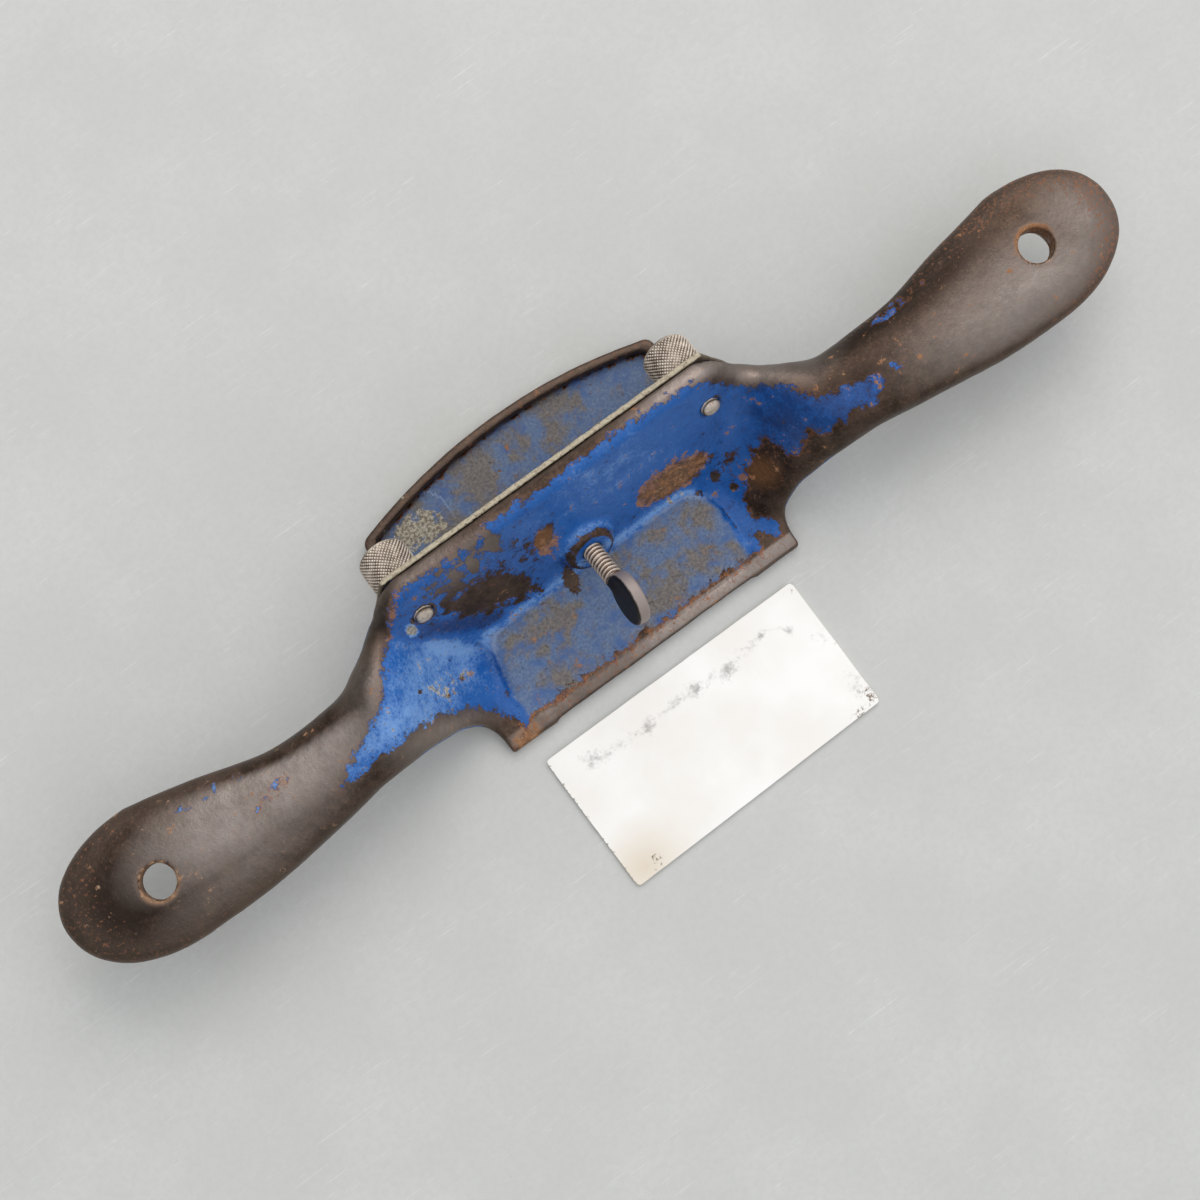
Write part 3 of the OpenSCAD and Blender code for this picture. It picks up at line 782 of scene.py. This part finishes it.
def paint_field(points, normals):
    """Above 0 where the paint held: the hollows, the bed and a tongue on each handle."""
    x, y, z = points.T
    along = np.abs(x)
    n, u = to_bed(y, z)
    paint = inside_outline(x, y, PAINTED) / 1.8
    on_top = (n < 0.5) & (n > -6.5) & (u > 36.0)
    paint = np.where(on_top & (along < 45.0), np.minimum((-n - 3.0) / 1.6, paint), paint)
    front = (n > 0.2) & (z < 30.0) & (along < 49.0)
    floor_paint = -(sole_outline(x, y) + FRONT_RIM_WIDTH) / 1.2
    paint = np.where(front & (z < FRONT_RIM_TOP + 0.5), floor_paint, paint)
    under = (normals[:, 2] < 0.25) & (along > 40.0) & (y > -24.0) & (z > FRONT_RIM_TOP + 1.0)
    paint = np.where(under, (57.0 - along) / 4.0, paint)
    paint = np.clip(paint, -2.0, 1.5)
    behind = n < -2.5
    for outline, fade in zip(BARE_PATCHES, PATCH_FADES):
        paint = np.where(behind, np.minimum(paint, 0.95 - inside_outline(x, y, outline) / fade), paint)
    for chip_x, chip_y, size in CHIPS:
        paint = np.minimum(paint, 1.3 - 2.4 * blob(x, y, chip_x, chip_y, size, size))
    rim = unit(1.6 - 1.2 * np.abs(np.hypot(x, u - BOW_U) - BOSS_RADIUS))
    paint = paint - sum(spot_heights(x, y, PAINT_WEAR)) - 1.5 * rim * (n < -BED_THICK - 1.0)
    # Paint taken off in a crescent at the boss's lower left: brown wear, and painted shade on that side
    crescent = blob(x, y, -6.5, -8.5, 3.5, 5.0, -0.5) - 1.4 * blob(x, y, -2.5, -7.5, 4.0, 5.0)
    paint = np.minimum(paint, 1.1 - 2.8 * unit(crescent))
    flecks = np.clip(1.6 * highest(x, y, PAINT_FLECKS), 0.0, 0.8)
    return np.maximum(paint, -2.0 + 2.1 * flecks)


def from_hole(x, y):
    """Distance in plan from the middle of the nearer hanging hole."""
    return np.hypot(np.abs(x) - HOLE_X, y - HOLE_Y)


def rust_field(points):
    """How thickly rust specks lie on the bare iron."""
    x, y, z = points.T
    grip = rise(from_hole(x, y), 8.0, 17.0) * rise(np.abs(x), 104.0, 122.0) * np.where(x > 0, 0.8, 0.5)
    return np.maximum.reduce([
        grip,
        0.7 * rise(y, -6.0, 2.0) * (x > 72.0),
        0.45 * blob(x, y, 46.0, -14.0, 14.0, 12.0, 0.4) ** 0.5,
        0.55 * (z < 4.5) * (y < -28.0),
        0.5 * (z < FRONT_RIM_TOP + 0.6) * (y > 12.0),
        0.45 * blob(x, y, -88.0, -10.0, 26.0, 8.0),
    ])


def oxide_field(points):
    """1 inside the patches where rust has taken over."""
    x, y, z = points.T
    n, _ = to_bed(y, z)
    right = unit(inside_outline(x, y, BARE_PATCHES[2]) / 2.4 + 0.45) * (1.0 - 0.45 * rise(x, 25.0, 33.0))
    past_hole = from_hole(x, y) - HOLE_RADIUS
    hole_rim = unit(1.0 - np.abs(past_hole) / 1.3)
    return np.maximum.reduce([
        np.maximum(right, blob(x, y, -7.5, 0.0, 4.5, 3.5)) * (n < -2.5),
        0.8 * blob(x, y, -44.0, 6.5, 6.5, 1.8, 0.78) * (z > 25.0),
        highest(x, y, OXIDE_SPOTS),
        np.clip(2.0 * blob(x, y, -28.5, 21.5, 7.5, 5.5), 0.0, 0.9),
        hole_rim * np.where((x < 0) == (y < HOLE_Y), 0.8, 0.1),
        0.7 * (past_hole < 0.2),
    ])


def film_field(points):
    """Near 1 where a thin worn film of paint is left, more than 1 where it is worn through to brown."""
    x, y, z = points.T
    n, _ = to_bed(y, z)
    panel = unit(-panel_outline(x, np.maximum(y, -23.0)) / 2.5 + 0.25) * rise(y, -31.5, -30.0)
    panel = panel * (z < 12.0) * (n < -4.0) * (0.9 + sum(spot_heights(x, y, FILM_WEAR)))
    front = unit((n - 1.0) / 3.0) * (z < 4.5)
    return np.maximum(panel, front * (1.0 + 0.35 * blob(x, y, -4.0, 20.0, 46.0, 14.0)))


def tone_and_light_field(points):
    """Below 0 where the paint is deep, above 0 where it is chalky; partly the paint's own tone, partly painted
    highlights and painted shade.
    """
    x, y, z = points.T
    # Right shoulder deeper: its own darker paint, and painted shade on the side away from the light
    tone_and_light = sum(spot_heights(x, y, TONE_AND_LIGHT_SPOTS)) - 0.75 * rise(x, 41.0, 52.0) + 0.8 * (np.abs(x) > 76.0)
    # Left ramp lighter: chalky paint and a painted highlight
    tone_and_light += 1.1 * unit(1.4 * blob(x, y, -44.0, -8.5, 18.0, 13.0))
    tone_and_light += 2.0 * ((np.hypot(x + 28.5, y - 21.5) < 9.0) | (np.hypot(x + 43.2, y - 1.5) < 1.4))
    # Lighter bevel along the panel's edge: chalky paint and a painted highlight
    bevel = unit(1.0 - np.abs(panel_outline(x, y) - 0.3) / 1.6) * (y > -27.0)
    tone_and_light += bevel * (0.55 + 0.75 * rise(y, -14.0, -9.0))
    n, u = to_bed(y, z)
    # Boss rim: painted highlight on its upper side, painted shade on its lower left
    ring = unit(1.0 - np.abs(np.hypot(x, u - BOW_U) - BOSS_RADIUS - 1.2) / 1.2)
    return tone_and_light + ring * (n < -4.0) * np.where(x * 0.5 + u - BOW_U > -1.0, 0.8, -0.9)


def rubbed_and_sheen_field(points, normals):
    """1 where palms and thumbs rub the iron bright along the middle of each handle, and painted sheen where its
    faces turn up towards the light.
    """
    x, y, z = points.T
    # Painted sheen: the handles' middles are lighter only where their faces turn up, the right one also towards
    # the rear
    left = blob(x, y, -89.0, -7.0, 41.0, 14.0, 0.03) * rise(normals[:, 2], 0.84, 0.98)
    tilted = normals[:, 2] - 0.3 * normals[:, 1]
    right = blob(x, y, 112.0, -17.0, 41.0, 17.0, -0.03) * rise(tilted, 0.9, 1.04)
    rim = (0.25 + 0.3 * rise(x, -20.0, 10.0)) * rise(normals[:, 2], 0.6, 0.9)
    rim = rim * (y < -29.0) * (z > 1.5) * (z < 4.5)
    rubbed_and_sheen = np.maximum.reduce([left, 0.6 * right, rim, highest(x, y, RUBBED_AND_SHEEN_SPOTS)])
    return unit(1.7 * rubbed_and_sheen)


def grime_and_shade_field(points):
    """1 where dirt darkens the flanks of the handles that no palm rubs, and painted shade where they face away
    from the light.
    """
    x, y, _ = points.T
    return np.clip(1.5 * highest(x, y, GRIME_AND_SHADE_SPOTS), 0.0, 0.8)


def make_casting(material):
    points, quads = net_mesh(casting_field, (-144.0, -34.0, -1.2), (144.0, 34.0, 40.0), CASTING_STEP)
    slope = gradient(casting_field, points)
    normals = slope / np.maximum(np.linalg.norm(slope, axis=1), 1e-6)[:, None]
    edge = convexity(casting_field, points, normals, 2.0)
    thin = points[:, 2] < REAR_RIM_TOP + 0.4
    edge = np.where(thin, convexity(casting_field, points, normals, 0.9), edge)
    rough_skin = 0.10 * lattice_noise(points, 7.0, 1.0) + 0.05 * lattice_noise(points, 2.6, 2.0)
    machined = (points[:, 2] < 0.3) | (edge > 0.9)
    moved = points + normals * np.where(machined, 0.0, rough_skin)[:, None]
    moved[:, 2] = np.maximum(moved[:, 2], 0.0)
    piece = make_object("casting_skin", moved, quads, "casting", [material])
    fields = [paint_field(points, normals), edge, rust_field(points), film_field(points), oxide_field(points),
              tone_and_light_field(points), rubbed_and_sheen_field(points, normals), grime_and_shade_field(points)]
    for name, values in zip(CASTING_ATTRIBUTES, fields):
        set_attribute(piece, name, values)
    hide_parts("body_casting")


def bed_to_row(points):
    """From x, distance in front of the bed and distance up it, to the row frame."""
    x, n, u = points.T
    y = MOUTH_Y + n * BED_COS + u * BED_SIN
    z = -n * BED_SIN + u * BED_COS
    return np.stack([x, y, z], axis=1)


def plate_field(x, n, u):
    past, up = np.abs(x) - CLAMP_X, u - CLAMP_U
    ends = np.hypot(np.maximum(past, 0.0), up) - PLATE_END_RADIUS
    middle = np.maximum(past, np.abs(up) - PLATE_END_RADIUS)
    shoulder = 0.62 * (np.abs(x) - PLATE_TOP_HALF) + 0.3276 * (u - BED_HEIGHT)
    upper = np.maximum(np.maximum(u - BED_HEIGHT, shoulder), -up)
    body = smooth_min(np.minimum(ends, middle), upper, 0.8)
    body = np.maximum(body, BORE_RADIUS - np.hypot(past, up))
    return smooth_max(smooth_max(body, n - PLATE_THICK, 0.35), -n, 0.35)


def make_plate(face_material, edge_material):
    points, quads = net_mesh(plate_field, (-49.0, -0.6, 21.0), (49.0, 2.0, 44.0), PLATE_STEP)
    sheared = rise(points[:, 2], BED_HEIGHT - 1.2, BED_HEIGHT - 0.3)
    jag = 0.16 * lattice_noise(points, 1.7, 5.0) + 0.1 * lattice_noise(points, 0.7, 6.0)
    points[:, 2] += sheared * (jag - 0.05)
    row = bed_to_row(points)
    piece = make_object("clamp_plate_skin", row, quads, "plate", [face_material, edge_material])
    middle = points[quads].mean(axis=1)
    on_edge = (middle[:, 2] > BED_HEIGHT - 0.45).astype(int)
    piece.data.polygons.foreach_set("material_index", on_edge)
    from_screw = np.hypot(np.abs(points[:, 0]) - CLAMP_X, points[:, 2] - CLAMP_U)
    worn = unit(1.0 - np.abs(from_screw - HEAD_RADIUS))
    set_attribute(piece, "crest", 0.4 + 0.3 * lattice_noise(points, 8.0, 7.0) + 0.5 * worn)
    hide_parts("clamp_plate")


def placed(points, x, u):
    """Stands a shape made along +Z square on the bed's front face."""
    across, down, out = np.asarray(points).T
    return bed_to_row(np.stack([x + across, out, u - down], axis=1))


def with_next(count):
    """Each place round a ring with the one after it."""
    return [(k, (k + 1) % count) for k in range(count)]


def lathe(rows, around):
    """Quads between rows of points; each row is (height, radius or radius as a function of the angle)."""
    angles = np.arange(around) * 2.0 * pi / around
    points = []
    for height, radius in rows:
        r = radius(angles) if callable(radius) else np.full(around, radius)
        points.append(np.stack([r * np.cos(angles), r * np.sin(angles), np.full(around, height)], axis=1))
    points = np.vstack([*points, [0.0, 0.0, rows[0][0]], [0.0, 0.0, rows[-1][0]]])
    last = (len(rows) - 1) * around
    faces = [(a + k, a + m, a + around + m, a + around + k)
             for a in range(0, last, around) for k, m in with_next(around)]
    low, high = last + around, last + around + 1
    for k, m in with_next(around):
        faces += [(low, m, k), (high, last + k, last + m)]
    return points, faces


def thread_rows(start, end):
    """Rows of a screw thread between two heights, ten to a turn."""
    rows = []
    for height in np.arange(start, end, THREAD_PITCH / 10):
        def radius(angles, height=height):
            phase = (height / THREAD_PITCH - angles / (2.0 * pi)) % 1.0
            groove = unit(np.abs(phase - 0.5) * 2.6 - 0.15)
            return SCREW_RADIUS - THREAD_DEPTH * (1.0 - groove)
        rows.append((height, radius))
    return rows


def knurl(height):
    """Radius of a head's diamond knurl at a height, as a function of the angle."""
    def radius(angles):
        turn = height / HEAD_RADIUS
        one = np.abs(((angles + turn) * KNURL_STARTS / (2.0 * pi)) % 1.0 - 0.5) * 2.0
        two = np.abs(((angles - turn) * KNURL_STARTS / (2.0 * pi)) % 1.0 - 0.5) * 2.0
        return HEAD_RADIUS - KNURL_DEPTH * (1.0 - np.minimum(one, two) ** 0.8)
    return radius


def set_crest_on_thread(piece, points):
    """Marks a thread's crests with 1 and its grooves with 0."""
    out = np.hypot(points[:, 0], points[:, 1])
    crest = unit(1.0 - (SCREW_RADIUS - out) / THREAD_DEPTH)
    rounded_tip = points[:, 2] < points[:, 2].min() + 0.9
    grimy = 0.85 - 0.7 * rise(out, 1.5, 2.4) + 0.35 * lattice_noise(points, 1.3, 3.0)
    set_attribute(piece, "crest", np.where(rounded_tip, grimy, crest))


def make_clamp_screw(side, name, body, node, head_material, tip_material):
    tip = -BED_THICK - TIP_PROUD
    rows = [(tip, 0.4), (tip + 0.06, 1.1), (tip + 0.22, 1.75), (tip + 0.5, 2.15), (tip + 0.85, SCREW_RADIUS - 0.1)]
    rows += thread_rows(tip + 1.0, PLATE_THICK - 0.05)
    shank_points, faces = lathe(rows, 48)
    shank = make_object(name + "_shank", placed(shank_points, side * CLAMP_X, CLAMP_U), faces, body,
                        [tip_material])
    set_crest_on_thread(shank, shank_points)
    low, high = PLATE_THICK + 0.02, PLATE_THICK + HEAD_LENGTH
    rows = [(low, 2.2), (low, HEAD_RADIUS - 0.7), (low + 0.25, HEAD_RADIUS - 0.25)]
    rows += [(height, knurl(height)) for height in np.arange(low + 0.4, high - 1.0, 0.14)]
    rows += [(high - back, HEAD_RADIUS - inward) for back, inward in HEAD_END]
    points, faces = lathe(rows, 8 * KNURL_STARTS)
    head = make_object(name + "_head", placed(points, side * CLAMP_X, CLAMP_U), faces, body,
                       [head_material])
    out = np.hypot(points[:, 0], points[:, 1])
    set_attribute(head, "crest", unit((out - HEAD_RADIUS + KNURL_DEPTH) / KNURL_DEPTH))
    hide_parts(node)
    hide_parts(node)


def paddle_field(x, y, z):
    """Flat round head with a short neck; its axis across lies along X, the screw along Z."""
    centre = -(BED_THICK + BOSS_HEIGHT + BOW_THREAD + PADDLE_RADIUS)
    radial = np.hypot(y, z - centre)
    disc = smooth_max(radial - PADDLE_RADIUS, np.abs(x) - PADDLE_HALF_THICK + 0.03 * radial, 0.9)
    neck = smooth_max(np.hypot(x, y) - 2.0, np.abs(z - centre - 5.2) - 1.6, 0.6)
    return smooth_min(disc, neck, 1.2)


def make_bow_screw(material, thread_material):
    end = -(BED_THICK + BOSS_HEIGHT + BOW_THREAD + 0.4)
    rows = [(end, 1.6), (end + 0.1, 2.0)] + thread_rows(end + 0.2, -3.0) + [(-2.9, 1.8)]
    points, faces = lathe(rows, 48)
    thread = make_object("bow_screw_thread", placed(points, 0.0, BOW_U), faces, "bower",
                         [thread_material])
    set_crest_on_thread(thread, points)
    points, quads = net_mesh(paddle_field, (-3.5, -7.5, -31.5), (3.5, 7.5, -14.5), PADDLE_STEP)
    # 1 on the rim and right face, 0 on the left face, which is painted near black: painted shade on the side away
    # from the light
    light_metal = rise(points[:, 0], -1.5, -0.7)
    c, s = cos(PADDLE_TURN), sin(PADDLE_TURN)
    points = points @ np.array([[c, -s, 0.0], [s, c, 0.0], [0.0, 0.0, 1.0]]).T
    head = make_object("bow_screw_head", placed(points, 0.0, BOW_U), quads, "bower", [material])
    set_attribute(head, "crest", light_metal)
    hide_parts("bow_screw")
    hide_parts("bow_screw")


def blade_grid():
    """Top of the blade as a grid of points in its own plane, left to right by rear to front."""
    across = np.linspace(0.0, 1.0, BLADE_COLUMNS + 1)
    deep = np.linspace(0.0, 1.0, BLADE_ROWS + 1)
    s, t = np.meshgrid(across, deep, indexing="ij")
    half_width = 0.5 * (BLADE_LEFT_WIDTH + (BLADE_RIGHT_WIDTH - BLADE_LEFT_WIDTH) * s)
    return np.stack([BLADE_LENGTH * (s - 0.5), half_width * (2.0 * t - 1.0)], axis=-1)


# Spots on the blade, in its own plane: strength, place, half length, half width and turn
BLADE_STAINS = [(1.3, -26, 12, 6, 4, 0), (1.3, -11.5, 10, 5, 3.5, 0), (1.3, 3, 10.5, 4.5, 3.5, 0),
                (1.3, 11, 9.5, 5, 3.5, 0), (1.3, 22, 11.5, 3, 2.5, 0), (1.3, 28, 8.5, 3, 3, 0),
                (0.9, 33, -11, 6, 9, 0), (0.9, 33, 2, 4, 5, 0)]
BLADE_RUST = [(1.1, 34, -14.5, 5, 5.5, 0), (1.2, 29.5, -17, 4, 4, 0), (0.8, 34, 15, 3.5, 3.5, 0),
              (1.0, 34.4, 0, 1.6, 1.6, 0), (1.0, -28, -15.5, 4, 4, 0)]


def blade_stains(x, y):
    """Grey smudges, dark pits, a cream bloom and a painted shade line along the left edge, by their places on the
    blade.
    """
    band = unit(1.0 - np.abs(y - 10.8) / 3.5) * rise(x, -32.0, -26.0) * rise(-x, -31.0, -24.0)
    stain = np.maximum(0.75 * band, highest(x, y, BLADE_STAINS))
    # A thin dark line along the left edge, in the rust colour: painted shade of the edge and its contact shadow
    left_edge = unit(1.0 - (x + BLADE_LENGTH / 2.0) / 0.9)
    rust = np.maximum(0.75 * left_edge, highest(x, y, BLADE_RUST))
    return {"stain": stain, "rust": rust, "cream": 1.2 * blob(x, y, -31.0, -15.0, 16.0, 12.0)}


def make_blade(material):
    top = blade_grid()
    columns, rows = top.shape[:2]
    index = np.arange(columns * rows).reshape(columns, rows)
    loop = np.concatenate([index[:-1, 0], index[-1, :-1], index[:0:-1, -1], index[0, :0:-1]])
    flat = top.reshape(-1, 2)
    noise = lattice_noise(np.column_stack([flat, np.zeros(len(flat))]), 3.0, 9.0)
    outward = flat[loop] / np.linalg.norm(flat[loop], axis=1)[:, None]
    flat[loop] += outward * noise[loop][:, None] * 0.05
    for corner in (0, columns * rows - 1, index[0, -1], index[-1, 0]):
        flat[corner] *= 1.0 - 0.35 / np.linalg.norm(flat[corner])
    inset = np.sign(flat[loop]) * np.array([0.0, 0.95])
    levels = [(BLADE_THICK, flat), (BLADE_THICK - 0.08, flat[loop] * 1.001), (0.0, flat[loop] - inset)]
    plan = np.concatenate([level[1] for level in levels])
    height = np.concatenate([np.full(len(level[1]), level[0]) for level in levels])
    quads = np.stack([index[:-1, :-1], index[1:, :-1], index[1:, 1:], index[:-1, 1:]], axis=-1).reshape(-1, 4)
    faces = [tuple(q) for q in quads]
    count = len(loop)
    middle, low = len(flat), len(flat) + count
    for k, m in with_next(count):
        faces += [(middle + k, middle + m, loop[m], loop[k]), (low + k, low + m, middle + m, middle + k)]
    faces.append(tuple(reversed(range(low, low + count))))
    c, s = cos(BLADE_TURN), sin(BLADE_TURN)
    place = plan @ np.array([[c, s], [-s, c]]) + BLADE_CENTRE
    points = np.column_stack([place, height])
    piece = make_object("scraper_blade_skin", points, faces, "blade", [material], smooth=False)
    for name, values in blade_stains(*plan.T).items():
        set_attribute(piece, name, values)
    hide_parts("scraper_blade")


# Camera, light, world and floor

def make_camera():
    data = bpy.data.cameras.new("camera")
    data.sensor_width = SENSOR
    data.lens = SENSOR * FOCAL_IN_FRAMES
    data.clip_start = 0.01
    camera = bpy.data.objects.new("camera", data)
    right = CAMERA_RIGHT.normalized()
    up = (-CAMERA_DOWN - right * right.dot(-CAMERA_DOWN)).normalized()
    turn = Matrix((right, up, right.cross(up))).transposed().to_4x4()
    camera.matrix_world = Matrix.Translation(CAMERA_PLACE) @ turn
    bpy.context.scene.collection.objects.link(camera)
    bpy.context.scene.camera = camera


def make_key_light():
    """Warm disk of light that faces the part."""
    data = bpy.data.lights.new("key", "AREA")
    data.shape = "DISK"
    data.size = KEY_SIZE
    data.energy = KEY_POWER
    data.color = KEY_COLOUR
    light = bpy.data.objects.new("key", data)
    light.location = KEY_PLACE
    light.rotation_euler = (-KEY_PLACE).to_track_quat("-Z", "Y").to_euler()
    bpy.context.scene.collection.objects.link(light)


def make_world():
    """Bright round one direction overhead, darker away from it."""
    world = bpy.data.worlds.new("studio")
    world.use_nodes = True
    tree = world.node_tree
    direction = tree.nodes.new("ShaderNodeTexCoord")
    facing = tree.nodes.new("ShaderNodeVectorMath")
    facing.operation = "DOT_PRODUCT"
    facing.inputs[1].default_value = WORLD_BRIGHT_SIDE
    ramp = tree.nodes.new("ShaderNodeMapRange")
    ramp.interpolation_type = "SMOOTHSTEP"
    limits = {"From Min": -0.1, "From Max": 0.9, "To Min": WORLD_DARKEST, "To Max": WORLD_BRIGHTEST}
    for name, value in limits.items():
        ramp.inputs[name].default_value = value
    background = tree.nodes["Background"]
    background.inputs["Color"].default_value = (0.95, 0.98, 1.02, 1.0)
    tree.links.new(direction.outputs["Generated"], facing.inputs[0])
    tree.links.new(facing.outputs["Value"], ramp.inputs["Value"])
    tree.links.new(ramp.outputs["Result"], background.inputs["Strength"])
    bpy.context.scene.world = world


def make_floor():
    half = 3.0
    mesh = bpy.data.meshes.new("floor")
    corners = [(-half, -half, 0.0), (half, -half, 0.0), (half, half, 0.0), (-half, half, 0.0)]
    mesh.from_pydata(corners, [], [(0, 1, 2, 3)])
    mesh.materials.append(floor_material())
    floor = bpy.data.objects.new("floor", mesh)
    bpy.context.scene.collection.objects.link(floor)


def main():
    scene = bpy.context.scene
    scene.view_settings.view_transform = "Standard"
    make_casting(casting_material())
    screw = steel_material("knurled_steel", (100, 85, 72), (228, 213, 197), (120, 78, 50), 0.7, 0.4, 0.6)
    tip = steel_material("screw_tip_steel", (112, 95, 80), (216, 202, 188), (150, 90, 50), 0.6, 0.34, 0.7)
    plate = steel_material("plate_steel", (110, 96, 80), (150, 138, 118), (116, 74, 46), 0.62, 0.45)
    # The bow screw's paddle: its near black colour on the left face is painted shade
    dark = steel_material("dark_steel", (27, 21, 19), (150, 136, 130), (92, 62, 46), 0.75, 0.46, 0.35)
    thread = steel_material("thread_steel", (112, 88, 70), (210, 194, 180), (120, 76, 48), 0.7, 0.3)
    make_plate(plate, sheared_material())
    make_clamp_screw(-1, "left_clamp", "left_screw", "left_clamp_screw", screw, tip)
    make_clamp_screw(1, "right_clamp", "right_screw", "right_clamp_screw", screw, tip)
    make_bow_screw(dark, thread)
    make_blade(blade_material())
    make_floor()
    make_world()
    make_key_light()
    make_camera()


main()
